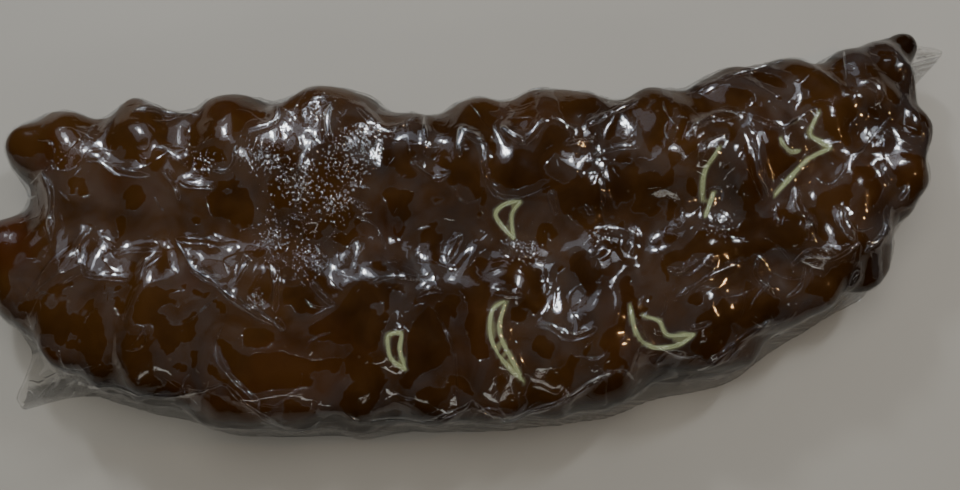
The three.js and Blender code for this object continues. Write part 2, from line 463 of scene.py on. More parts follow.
@dataclass(frozen=True)
class FleshFinish:
    """The wet, jelly-like body wall: dark brown, painted amber high up as light, redder low at the
    mouth end.
    """

    name: str = "jelly_flesh"
    deep: Colour = (0.0052, 0.0019, 0.0006)
    brown: Colour = (0.0185, 0.0070, 0.0015)
    amber: Colour = (0.043, 0.0175, 0.0036)
    rust: Colour = (0.045, 0.0098, 0.0015)
    # The colour of the painted shade in the clefts.
    shade: Colour = (0.0025, 0.0009, 0.0004)
    spot: Colour = (0.075, 0.05, 0.03)
    cloud_size: float = 42 * MM
    cloud_warp: float = 0.3
    band_size: float = 11 * MM
    band_detail: float = 0.55
    band_warp: float = 0.8
    rust_size: float = 33.6 * MM
    # Between low and high the flesh is painted lighter and more amber, as light from above.
    low: float = 12 * MM
    high: float = 42 * MM
    mouth_end: float = -195 * MM
    mouth_reach: float = 170 * MM
    # Shares of the tone from the clouds, the bands and the painted light from above.
    tone_shares: tuple[float, float, float] = (0.5, 0.22, 0.28)
    brown_span: Span = (0.26, 0.56)
    amber_span: Span = (0.5, 0.78)
    # A painted amber glow at the mouth end, as light shining through the flesh.
    amber_glow_at_mouth: float = 0.12
    rust_span: Span = (0.5, 0.66)
    rust_at_mouth: float = 0.7
    rust_elsewhere: float = 0.25
    # Part of the painted light from above: the reds fade high up.
    rust_lost_high_up: float = 0.5
    shade_span: Span = (0.1, 0.6)
    shade_share: float = 0.93
    spot_spacing: float = 11 * MM
    spot_span: Span = (0.04, 0.08)
    spot_share: float = 0.4
    relief_shares: tuple[float, float, float] = (0.4, 0.3, 0.12)
    relief_depth: float = 0.8 * MM
    relief_strength: float = 0.5
    roughness: float = 0.26
    uneven_roughness: float = 0.2
    index: float = 1.36
    specular: float = 0.08

    def material(self) -> bpy.types.Material:
        """Builds the material."""
        paint = Paint(self.name)
        clouds = paint.grain(self.cloud_size, warp=self.cloud_warp)
        bands = paint.grain(self.band_size, roughness=self.band_detail, warp=self.band_warp)
        along = paint.place().part("X")
        near_mouth = 1 - along.step(self.mouth_end, self.mouth_end + self.mouth_reach)
        # Painted light: lighter and more amber with height, as lit from above.
        raised = paint.place().part("Z").step(self.low, self.high)
        by_clouds, by_bands, by_painted_top_light = self.tone_shares
        tone = clouds * by_clouds + bands * by_bands + raised * by_painted_top_light
        shaded = paint.blend(tone.step(*self.brown_span), self.deep, self.brown)
        # Painted glow: more amber near the mouth end, as light shining through the flesh.
        glow = tone + near_mouth * self.amber_glow_at_mouth
        lit = paint.blend(glow.step(*self.amber_span), shaded, self.amber)
        reds = paint.grain(self.rust_size, 2).step(*self.rust_span)
        reds = reds * (near_mouth * self.rust_at_mouth + self.rust_elsewhere)
        flesh = paint.blend(reds * (1 - raised * self.rust_lost_high_up), lit, self.rust)
        # Painted shade: darker where the flesh's own surface hides the sky, in the clefts and the
        # furrow.
        shut_in = paint.carried("hidden").step(*self.shade_span)
        flesh = paint.blend(shut_in * self.shade_share, flesh, self.shade)
        dots = 1 - paint.cells(self.spot_spacing).step(*self.spot_span)
        cloud_relief, band_relief, dot_relief = self.relief_shares
        relief = clouds * cloud_relief + bands * band_relief + dots * dot_relief
        shader = paint.node(
            "ShaderNodeBsdfPrincipled",
            Base_Color=paint.blend(dots * self.spot_share, flesh, self.spot),
            Roughness=bands * self.uneven_roughness + self.roughness,
            IOR=self.index,
            Specular_IOR_Level=self.specular,
            Normal=paint.bump(relief, self.relief_depth, self.relief_strength),
        )
        return paint.finish(shader)


@dataclass(frozen=True)
class LipFinish:
    """The thin dark skin round an opening, almost black down in the throat."""

    name: str = "puckered_lip"
    rim: Colour = (0.016, 0.0062, 0.0016)
    throat: Colour = (0.005, 0.002, 0.0008)
    fold_size: float = 2.2 * MM
    fold_detail: int = 4
    fold_roughness: float = 0.6
    fold_warp: float = 0.8
    fold_share: float = 0.4
    fold_middle: float = 0.2
    relief_depth: float = 0.4 * MM
    relief_strength: float = 0.6
    roughness: float = 0.3
    uneven_roughness: float = 0.2
    specular: float = 0.2

    def material(self) -> bpy.types.Material:
        """Builds the material."""
        paint = Paint(self.name)
        folds = paint.grain(self.fold_size, self.fold_detail, self.fold_roughness, self.fold_warp)
        depth = paint.carried("depth") + folds * self.fold_share - self.fold_middle
        shader = paint.node(
            "ShaderNodeBsdfPrincipled",
            Base_Color=paint.blend(depth.at_most_one(), self.rim, self.throat),
            Roughness=folds * self.uneven_roughness + self.roughness,
            Specular_IOR_Level=self.specular,
            Normal=paint.bump(folds, self.relief_depth, self.relief_strength),
        )
        return paint.finish(shader)


@dataclass(frozen=True)
class FilmFinish:
    """Thin clear film: unseen where it lies wet on the flesh, a cool veil and painted reflection
    where it stands off.
    """

    name: str = "clear_film"
    # Partly the film's milky veil and partly a painted bluish reflection of the room.
    haze_and_reflection: Colour = (0.24, 0.285, 0.32)
    haze_least: float = 0.008
    haze_most: float = 0.055
    haze_span: Span = (0.3, 0.7)
    haze_detail: float = 0.55
    haze_warp: float = 1.5
    # Painted shade: the veil is dimmed where the flesh hides the sky.
    shade_span: Span = (0.3, 0.9)
    shade_share: float = 0.7
    meniscus: float = 0.05
    # Painted shade: the veil is dimmed low down, towards the floor.
    skirt_low: float = 2 * MM
    skirt_high: float = 14 * MM
    haze_kept_in_skirt_shade: float = 0.3
    # A painted yellow-green reflection along the edges of the air pockets.
    pocket: Colour = (0.46, 0.52, 0.28)
    pocket_share: float = 0.22
    pocket_span: Span = (0.3, 0.95)
    contact: float = 0.10
    lifted: float = 0.17
    patch_size: float = 21 * MM
    patch_share: float = 1.8
    patch_middle: float = 0.585
    patch_warp: float = 0.5
    ripple_size: float = 3.5 * MM
    ripple_warp: float = 1.2
    ripple_height: float = 0.06
    ripple_height_lifted: float = 0.13
    lifted_height: float = 0.3
    crinkle_size: float = 18 * MM
    crinkle_warp: float = 0.6
    crinkle_width: float = 0.03
    crinkle_height: float = 0.3
    foam_size: float = 1.5 * MM
    foam_width: float = 0.55
    foam_height: float = 0.9
    relief: float = 0.35 * MM
    relief_strength: float = 0.8
    index: float = 1.5
    least_mirror: float = 0
    most_mirror: float = 0.35
    double_mirror: float = 0.6
    roughness: float = 0.09

    def material(self) -> bpy.types.Material:
        """Builds the material."""
        paint = Paint(self.name)
        patches = paint.grain(self.patch_size, warp=self.patch_warp)
        gap = paint.carried("gap") + (patches - self.patch_middle) * self.patch_share
        lifted = gap.step(self.contact, self.lifted)
        # Where the painted yellow-green reflection lies.
        pocket = paint.carried("pocket").step(*self.pocket_span)
        veil = self._veil(paint, lifted, pocket)
        normal = self._normal(paint, lifted)
        gloss = paint.node("ShaderNodeBsdfAnisotropic", Color=(1, 1, 1, 1),
                           Roughness=self.roughness, Normal=normal)
        mirror = paint.signal(paint.node("ShaderNodeFresnel", IOR=self.index, Normal=normal))
        softened = mirror / (mirror * (1 / self.most_mirror - 1) + 1)
        mirrored = softened * (lifted * self.double_mirror + 1) + self.least_mirror
        shader = paint.node("ShaderNodeMixShader", in0=mirrored, in1=veil, in2=gloss)
        return paint.finish(shader)

    def _veil(self, paint: Paint, lifted: Signal, pocket: Signal) -> bpy.types.Node:
        """Builds what shows through the film: clear, with a milky veil and painted reflection where
        it is lifted or pocketed.

        Args:
            paint: the material.
            lifted: 1 where the film stands off the flesh, 0 where it lies on it.
            pocket: 1 on the edges of the pockets, where a painted yellow-green reflection goes.

        Returns:
            The shader.
        """
        # The veil, partly painted reflection, comes in streaks.
        streaks = paint.grain(self.patch_size, roughness=self.haze_detail, warp=self.haze_warp)
        spread = self.haze_most - self.haze_least
        haze_and_reflection = streaks.step(*self.haze_span) * spread + self.haze_least
        # Painted shade: the veil is dimmed where the flesh hides the sky and low down towards the
        # floor.
        lit = 1 - paint.carried("hidden").step(*self.shade_span) * self.shade_share
        raised = paint.place().part("Z").step(self.skirt_low, self.skirt_high)
        lit = lit * (raised * (1 - self.haze_kept_in_skirt_shade) + self.haze_kept_in_skirt_shade)
        edge = lifted * (1 - lifted) * 4
        # On the edges of the pockets the veil turns to a painted yellow-green reflection.
        share = lifted * haze_and_reflection * lit + edge * self.meniscus * lit + pocket * self.pocket_share
        clear = paint.node("ShaderNodeBsdfTransparent")
        tint = paint.blend(pocket, self.haze_and_reflection, self.pocket)
        milky = paint.node("ShaderNodeBsdfDiffuse", Color=tint)
        return paint.node("ShaderNodeMixShader", in0=share.at_most_one(), in1=clear, in2=milky)

    def _normal(self, paint: Paint, lifted: Signal) -> Signal:
        """Builds the film's fine relief: ripples, crinkles, the steps of its patches, and foam.

        Args:
            paint: the material.
            lifted: 1 where the film stands off the flesh, 0 where it lies on it.

        Returns:
            The normal.
        """
        ripples = paint.grain(self.ripple_size, warp=self.ripple_warp)
        winding = abs(paint.grain(self.crinkle_size, 2, warp=self.crinkle_warp) - 0.5)
        crinkles = 1 - (winding / self.crinkle_width).at_most_one()
        cells = 1 - paint.cells(self.foam_size).step(0, self.foam_width)
        foam = cells * paint.carried("froth")
        height = ripples * (lifted * self.ripple_height_lifted + self.ripple_height)
        height = height + lifted * self.lifted_height + crinkles * self.crinkle_height
        return paint.bump(height + foam * self.foam_height, self.relief, self.relief_strength)


@dataclass(frozen=True)
class FloorFinish:
    """A plain pale surface."""

    name: str = "pale_floor"
    colour: Colour = (0.33, 0.31, 0.27)
    mottle_size: float = 60 * MM
    mottle_detail: int = 4
    mottle_depth: float = 0.94
    roughness: float = 0.6

    def material(self) -> bpy.types.Material:
        """Builds the material."""
        paint = Paint(self.name)
        mottle = paint.grain(self.mottle_size, self.mottle_detail)
        darker = tuple(self.mottle_depth * share for share in self.colour)
        colour = paint.blend(mottle, darker, self.colour)
        shader = paint.node("ShaderNodeBsdfPrincipled", Base_Color=colour, Roughness=self.roughness)
        return paint.finish(shader)


@dataclass(frozen=True)
class Viewpoint:
    """The camera, which looks down on the back from a little towards the near side."""

    target: Place = (6.6 * MM, -9.2 * MM, 22 * MM)
    elevation: float = 76.0
    lens: float = 40.0
    sensor: float = 36.0
    metres_per_pixel: float = 0.4 * MM

    def focal_pixels(self) -> float:
        """Returns the focal length in pixels of the photograph."""
        return PHOTO_WIDTH * self.lens / self.sensor

    def position(self) -> Vector:
        """Returns the camera's place."""
        tilt = math.radians(self.elevation)
        away = self.focal_pixels() * self.metres_per_pixel
        return Vector(self.target) + away * Vector((0, -math.cos(tilt), math.sin(tilt)))

    def turn(self) -> Matrix:
        """Returns the camera's rotation."""
        return Matrix.Rotation(math.radians(90 - self.elevation), 3, "X")

    def ray(self, pixel: Pixel) -> tuple[Vector, Vector]:
        """Finds the line of sight through a pixel of the photograph.

        Args:
            pixel: the pixel, from the top left corner.

        Returns:
            Where the line starts, and its direction.
        """
        focal = self.focal_pixels()
        across = (pixel[0] - PHOTO_WIDTH / 2) / focal
        up = (PHOTO_HEIGHT / 2 - pixel[1]) / focal
        return self.position(), (self.turn() @ Vector((across, up, -1))).normalized()

    def on_level(self, pixel: Pixel, height: float) -> Vector:
        """Returns the point at a height above the floor that shows at a pixel."""
        start, direction = self.ray(pixel)
        return start + direction * ((height - start.z) / direction.z)

    def build(self) -> None:
        """Makes the camera and hands it to the scene."""
        camera = bpy.data.cameras.new("camera")
        camera.lens = self.lens
        camera.sensor_width = self.sensor
        stand = bpy.data.objects.new("camera", camera)
        stand.location = self.position()
        stand.rotation_euler = self.turn().to_euler()
        bpy.context.collection.objects.link(stand)
        bpy.context.scene.camera = stand


@dataclass(frozen=True)
class Lump:
    """One layer of unevenness in the flesh."""

    size: float
    height: float
    seed: int


@dataclass
class Flesh:
    """The body wall: one skin that melts together all the lengths of the two rolls and the sole."""

    name: str = "flesh"
    openings: tuple[str, ...] = ("mouth", "vent")
    swell: float = 0.25 * MM
    squeeze: float = 7.0 * MM
    inset: float = 0.8 * MM
    voxel: float = 1.8 * MM
    smoothing: int = 6
    lift: float = 0.3 * MM
    flat_span: Span = (0.5 * MM, 9 * MM)
    shade_reach: float = 28 * MM
    sway: Lump = Lump(34 * MM, 3.5 * MM, 4)
    sway_span: Span = (14 * MM, 40 * MM)
    lumps: tuple[Lump, ...] = (
        Lump(26 * MM, 2.2 * MM, 1),
        Lump(11 * MM, 0.9 * MM, 2),
        Lump(4.5 * MM, 0.2 * MM, 3),
    )
    finish: FleshFinish = field(default_factory=FleshFinish)

    def nodes(self) -> list[str]:
        """Returns the CAD nodes that the skin covers."""
        return sorted(set(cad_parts) - set(self.openings))

    def press_together(self, skin: bpy.types.Object) -> None:
        """Swells the skin until its narrow clefts close, melts it and shrinks it back."""
        place_points(skin, points_of(skin) + normals_of(skin) * self.squeeze)
        remesh(skin, self.voxel, self.smoothing)
        place_points(skin, points_of(skin) - normals_of(skin) * (self.squeeze + self.inset))
        remesh(skin, self.voxel, self.smoothing)

    def roughen(self, skin: bpy.types.Object) -> None:
        """Makes the lobes sway and swell unevenly, and keeps the underside flat."""
        points = points_of(skin)
        raised = smooth_step(points[:, 2], *self.sway_span)
        for axis in (0, 1):
            shift = lumpy(points, self.sway.size, self.sway.seed + axis) * self.sway.height
            points[:, axis] += shift * raised
        place_points(skin, points)
        normals = normals_of(skin)
        free = smooth_step(points[:, 2], *self.flat_span)
        height = sum(lumpy(points, lump.size, lump.seed) * lump.height for lump in self.lumps)
        points += normals * (height * free)[:, None]
        points[:, 2] = np.maximum(points[:, 2], self.lift)
        place_points(skin, points)

    def build(self) -> bpy.types.Object:
        """Builds and dresses the skin.

        Returns:
            The finished piece.
        """
        skin = make_object(self.name, merged_copy(self.nodes(), self.swell))
        remesh(skin, self.voxel, self.smoothing)
        self.press_together(skin)
        self.roughen(skin)
        # How much of the sky each vertex sees sets the painted shade in the clefts.
        carry(skin, "hidden", hidden_sky(skin, self.shade_reach))
        dress(skin, self.finish)
        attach(skin, BODY)
        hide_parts(*self.nodes())
        return skin


@dataclass
class Opening:
    """A puckered body opening: a round lip drawn together in folds round a dark throat."""

    node: str
    facing: int
    folds: int
    # Half of its profile, from the throat over the lip and back, each point with its share of the
    # radius and of the depth.
    profile: tuple[Span, ...] = (
        (0.00, -0.35), (0.10, -0.30), (0.20, -0.10), (0.30, 0.20), (0.42, 0.40), (0.58, 0.50),
        (0.74, 0.46), (0.88, 0.30), (0.97, 0.02), (0.99, -0.25), (0.85, -0.45), (0.00, -0.5),
    )
    fold_depth: float = 0.07
    fold_front: Span = (-0.2, 0.3)
    fold_reach: Span = (0.1, 0.8)
    throat_depth: Span = (-0.45, 0.1)
    throat_reach: Span = (0.3, 0.6)
    length: float = 0.7
    sunk: float = 0.3
    steps_round: int = 96
    finish: LipFinish = field(default_factory=LipFinish)

    def pleat(self, shape: bmesh.types.BMesh, radius: float, depth: float) -> None:
        """Draws a round lip together in folds.

        Args:
            shape: the lip, round the X axis.
            radius: its radius in metres.
            depth: its depth in metres.
        """
        for vertex in shape.verts:
            angle = math.atan2(vertex.co.z, vertex.co.y)
            reach = math.hypot(vertex.co.y, vertex.co.z) / radius
            crest = 0.5 + 0.5 * math.cos(self.folds * angle + 2 * math.sin(2 * angle))
            front = smooth_step(vertex.co.x / depth, *self.fold_front)
            vertex.co.x -= self.fold_depth * depth * (1 - crest) * front
            narrow = 1 - self.fold_depth * (1 - crest) * smooth_step(reach, *self.fold_reach)
            vertex.co.y *= narrow
            vertex.co.z *= narrow

    def build(self) -> bpy.types.Object:
        """Builds and dresses the lip.

        Returns:
            The finished piece.
        """
        low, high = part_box(self.node)
        middle = (low + high) / 2
        radius = (high.z - low.z) / 2
        depth = high.x - low.x
        shape = bmesh.new()
        corners = [shape.verts.new(((out * self.length - self.sunk) * depth, 0, share * radius))
                   for share, out in self.profile]
        edges = [shape.edges.new(pair) for pair in zip(corners, corners[1:])]
        bmesh.ops.spin(shape, geom=corners + edges, cent=(0, 0, 0), axis=(1, 0, 0), dvec=(0, 0, 0),
                       angle=math.tau, steps=self.steps_round, use_merge=True)
        bmesh.ops.remove_doubles(shape, verts=shape.verts, dist=10 * SAME_PLACE)
        self.pleat(shape, radius, depth)
        for vertex in shape.verts:
            vertex.co.x *= self.facing
            vertex.co += middle
        bmesh.ops.recalc_face_normals(shape, faces=shape.faces)
        lip = make_object(self.node + "_lip", shape)
        points = points_of(lip)
        inward = (middle.x - points[:, 0]) * self.facing / depth
        reach = np.hypot(points[:, 1] - middle.y, points[:, 2] - middle.z) / radius
        outside = smooth_step(reach, *self.throat_reach)
        carry(lip, "depth", smooth_step(inward, *self.throat_depth) * (1 - outside))
        round_off = lip.modifiers.new("round", "SUBSURF")
        round_off.levels = round_off.render_levels = 1
        apply_modifiers(lip)
        dress(lip, self.finish)
        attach(lip, BODY)
        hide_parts(self.node)
        return lip


@dataclass(frozen=True)
class FoldShape:
    """The size of one kind of fold in millimetres: the film's lift, and the sharp ridge on it."""

    lift: float
    height: float
    half_width: float


class Fold(Enum):
    """The kinds of fold in the film."""

    LOOSE = FoldShape(0.0, 0.35, 0.7)
    HAIR = FoldShape(0.0, 0.45, 0.8)
    PINCH = FoldShape(1.5, 1.0, 1.5)
    TENT = FoldShape(2.2, 1.3, 2.2)
    POCKET = FoldShape(2.0, 0.7, 1.1)


@dataclass(frozen=True)
class Crease:
    """A crease of the film, by the pixels of the photograph that it passes."""

    kind: Fold
    pixels: tuple[Pixel, ...]


CREASES = (
    Crease(Fold.HAIR, ((150, 87), (132, 105), (95, 115))),
    Crease(Fold.PINCH, ((132, 112), (160, 111), (200, 116))),
    Crease(Fold.HAIR, ((94, 124), (80, 147), (76, 162))),
    Crease(Fold.TENT, ((85, 161), (97, 157), (110, 167), (125, 172), (150, 175))),
    Crease(Fold.PINCH, ((155, 146), (170, 152), (186, 166))),
    Crease(Fold.PINCH, ((236, 145), (234, 162), (225, 171), (212, 170))),
    Crease(Fold.PINCH, ((162, 170), (175, 185), (179, 200))),
    Crease(Fold.PINCH, ((179, 182), (192, 186), (215, 187))),
    Crease(Fold.PINCH, ((41, 172), (50, 187), (50, 220), (51, 240))),
    Crease(Fold.HAIR, ((59, 212), (64, 230))),
    Crease(Fold.HAIR, ((37, 140), (52, 143), (50, 165), (30, 184))),
    Crease(Fold.PINCH, ((92, 227), (77, 242), (70, 260))),
    Crease(Fold.HAIR, ((99, 230), (107, 255))),
    Crease(Fold.PINCH, ((117, 255), (130, 250), (162, 251))),
    Crease(Fold.TENT, ((175, 239), (212, 242), (227, 246))),
    Crease(Fold.HAIR, ((170, 227), (162, 247))),
    Crease(Fold.PINCH, ((290, 215), (312, 222))),
    Crease(Fold.TENT, ((304, 150), (302, 180), (298, 208))),
    Crease(Fold.PINCH, ((277, 105), (277, 120), (250, 130))),
    Crease(Fold.HAIR, ((77, 245), (65, 267), (25, 300))),
    Crease(Fold.HAIR, ((70, 245), (47, 265), (25, 297))),
    Crease(Fold.HAIR, ((82, 272), (60, 285), (27, 301))),
    Crease(Fold.PINCH, ((84, 245), (84, 272), (95, 277), (130, 279))),
    Crease(Fold.PINCH, ((161, 255), (142, 267), (140, 280))),
    Crease(Fold.TENT, ((176, 242), (186, 255), (195, 270), (207, 277), (225, 292), (250, 310),
                       (282, 329))),
    Crease(Fold.TENT, ((270, 262), (276, 277), (275, 312))),
    Crease(Fold.TENT, ((275, 317), (285, 330))),
    Crease(Fold.PINCH, ((250, 257), (240, 275), (225, 292))),
    Crease(Fold.HAIR, ((265, 267), (255, 287))),
    Crease(Fold.PINCH, ((15, 410), (60, 390), (102, 386), (140, 395), (175, 396), (225, 384))),
    Crease(Fold.PINCH, ((225, 384), (260, 415), (300, 431), (320, 422))),
    Crease(Fold.PINCH, ((67, 370), (37, 400), (12, 412))),
    Crease(Fold.HAIR, ((59, 345), (67, 370), (100, 365))),
    Crease(Fold.PINCH, ((215, 345), (225, 370), (260, 405))),
    Crease(Fold.HAIR, ((25, 312), (30, 327))),
    Crease(Fold.PINCH, ((357, 107), (382, 130), (410, 122))),
    Crease(Fold.PINCH, ((424, 117), (425, 137), (425, 157))),
    Crease(Fold.PINCH, ((410, 161), (430, 177), (440, 179), (450, 172))),
    Crease(Fold.TENT, ((460, 127), (475, 137), (487, 147))),
    Crease(Fold.PINCH, ((460, 127), (460, 157))),
    Crease(Fold.TENT, ((546, 119), (525, 144))),
    Crease(Fold.TENT, ((525, 144), (500, 126))),
    Crease(Fold.PINCH, ((550, 117), (580, 135))),
    Crease(Fold.TENT, ((582, 127), (610, 113), (638, 100))),
    Crease(Fold.PINCH, ((567, 144), (594, 139), (594, 155))),
    Crease(Fold.PINCH, ((594, 155), (620, 147), (640, 147))),
    Crease(Fold.POCKET, ((521, 201), (505, 204), (495, 216), (514, 239))),
    Crease(Fold.POCKET, ((521, 202), (512, 214), (514, 239))),
    Crease(Fold.PINCH, ((354, 197), (360, 207), (372, 212))),
    Crease(Fold.HAIR, ((354, 216), (375, 225), (387, 250))),
    Crease(Fold.TENT, ((462, 232), (456, 245), (447, 262))),
    Crease(Fold.PINCH, ((485, 145), (485, 175), (497, 195), (520, 197))),
    Crease(Fold.PINCH, ((550, 190), (556, 215))),
    Crease(Fold.PINCH, ((602, 180), (604, 205))),
    Crease(Fold.PINCH, ((632, 222), (631, 255))),
    Crease(Fold.PINCH, ((585, 205), (592, 215))),
    Crease(Fold.HAIR, ((302, 112), (315, 99), (342, 97))),
    Crease(Fold.PINCH, ((303, 104), (304, 116), (312, 124))),
    Crease(Fold.TENT, ((331, 104), (328, 122), (331, 142))),
    Crease(Fold.HAIR, ((407, 122), (410, 155))),
    Crease(Fold.PINCH, ((316, 247), (325, 260), (345, 275))),
    Crease(Fold.PINCH, ((364, 242), (355, 257), (354, 270))),
    Crease(Fold.TENT, ((385, 262), (405, 270), (422, 279))),
    Crease(Fold.PINCH, ((371, 282), (395, 276), (422, 279))),
    Crease(Fold.PINCH, ((417, 297), (430, 290), (444, 291))),
    Crease(Fold.PINCH, ((311, 280), (320, 295), (335, 306))),
    Crease(Fold.HAIR, ((302, 297), (315, 307), (335, 306))),
    Crease(Fold.POCKET, ((387, 335), (402, 333), (400, 350), (406, 370))),
    Crease(Fold.POCKET, ((387, 335), (390, 358), (406, 370))),
    Crease(Fold.POCKET, ((505, 301), (492, 310), (490, 335), (500, 357), (524, 382))),
    Crease(Fold.POCKET, ((506, 302), (500, 322), (502, 340), (522, 380))),
    Crease(Fold.TENT, ((492, 290), (512, 294), (522, 296))),
    Crease(Fold.TENT, ((535, 325), (552, 327), (565, 336), (582, 335), (597, 327))),
    Crease(Fold.PINCH, ((350, 417), (395, 420), (455, 412), (472, 400))),
    Crease(Fold.PINCH, ((472, 400), (505, 420), (560, 402), (615, 371), (635, 380))),
    Crease(Fold.HAIR, ((435, 310), (450, 340), (455, 360), (457, 400))),
    Crease(Fold.PINCH, ((607, 245), (590, 257))),
    Crease(Fold.TENT, ((744, 114), (715, 117), (695, 127), (687, 140))),
    Crease(Fold.TENT, ((730, 135), (712, 142), (702, 152), (701, 165))),
    Crease(Fold.PINCH, ((747, 120), (757, 145), (760, 170), (770, 197))),
    Crease(Fold.HAIR, ((742, 145), (752, 175), (762, 200))),
    Crease(Fold.PINCH, ((785, 60), (752, 70), (720, 80))),
    Crease(Fold.PINCH, ((817, 107), (780, 130))),
    Crease(Fold.POCKET, ((819, 112), (810, 135), (830, 147), (807, 160), (775, 195))),
    Crease(Fold.POCKET, ((780, 138), (790, 152), (800, 150))),
    Crease(Fold.PINCH, ((745, 114), (780, 127))),
    Crease(Fold.TENT, ((860, 81), (880, 90), (877, 105))),
    Crease(Fold.PINCH, ((895, 67), (922, 92), (947, 50))),
    Crease(Fold.PINCH, ((890, 117), (870, 140), (852, 160), (832, 185), (815, 177))),
    Crease(Fold.PINCH, ((880, 127), (912, 150))),
    Crease(Fold.PINCH, ((881, 162), (890, 185))),
    Crease(Fold.PINCH, ((910, 185), (900, 200))),
    Crease(Fold.TENT, ((800, 187), (792, 200), (795, 212))),
    Crease(Fold.POCKET, ((720, 147), (705, 170), (702, 200))),
    Crease(Fold.POCKET, ((714, 192), (705, 217))),
    Crease(Fold.PINCH, ((682, 207), (681, 225), (670, 226))),
    Crease(Fold.TENT, ((667, 267), (685, 272), (702, 261), (716, 266))),
    Crease(Fold.PINCH, ((741, 260), (717, 272), (692, 287), (675, 297))),
    Crease(Fold.PINCH, ((759, 255), (755, 275), (770, 290), (775, 297))),
    Crease(Fold.PINCH, ((810, 215), (805, 240))),
    Crease(Fold.TENT, ((792, 265), (810, 252), (837, 255))),
    Crease(Fold.PINCH, ((805, 265), (835, 259), (860, 242))),
    Crease(Fold.TENT, ((840, 207), (845, 225), (855, 240))),
    Crease(Fold.PINCH, ((887, 205), (885, 230), (865, 252))),
    Crease(Fold.PINCH, ((805, 266), (800, 287), (787, 297))),
    Crease(Fold.PINCH, ((858, 270), (850, 287))),
    Crease(Fold.POCKET, ((630, 305), (635, 330), (647, 345), (670, 347), (695, 335))),
    Crease(Fold.POCKET, ((642, 315), (660, 322), (667, 335), (695, 334))),
    Crease(Fold.PINCH, ((690, 329), (712, 322))),
    Crease(Fold.PINCH, ((770, 320), (730, 347), (697, 370))),
    Crease(Fold.PINCH, ((657, 365), (670, 352), (686, 355))),
)


@dataclass(frozen=True)
class Draw:
    """One stage in which the pressure of the air draws a sheet on.

    Attributes:
        steps: number of moves.
        pull: how far each move presses the sheet inwards, in metres.
        bend: how much the sheet resists bending.
        drag: share of its speed that it keeps.
        passes: how often its threads are evened out in each move.
    """

    steps: int
    pull: float
    bend: float
    drag: float
    passes: int = 3


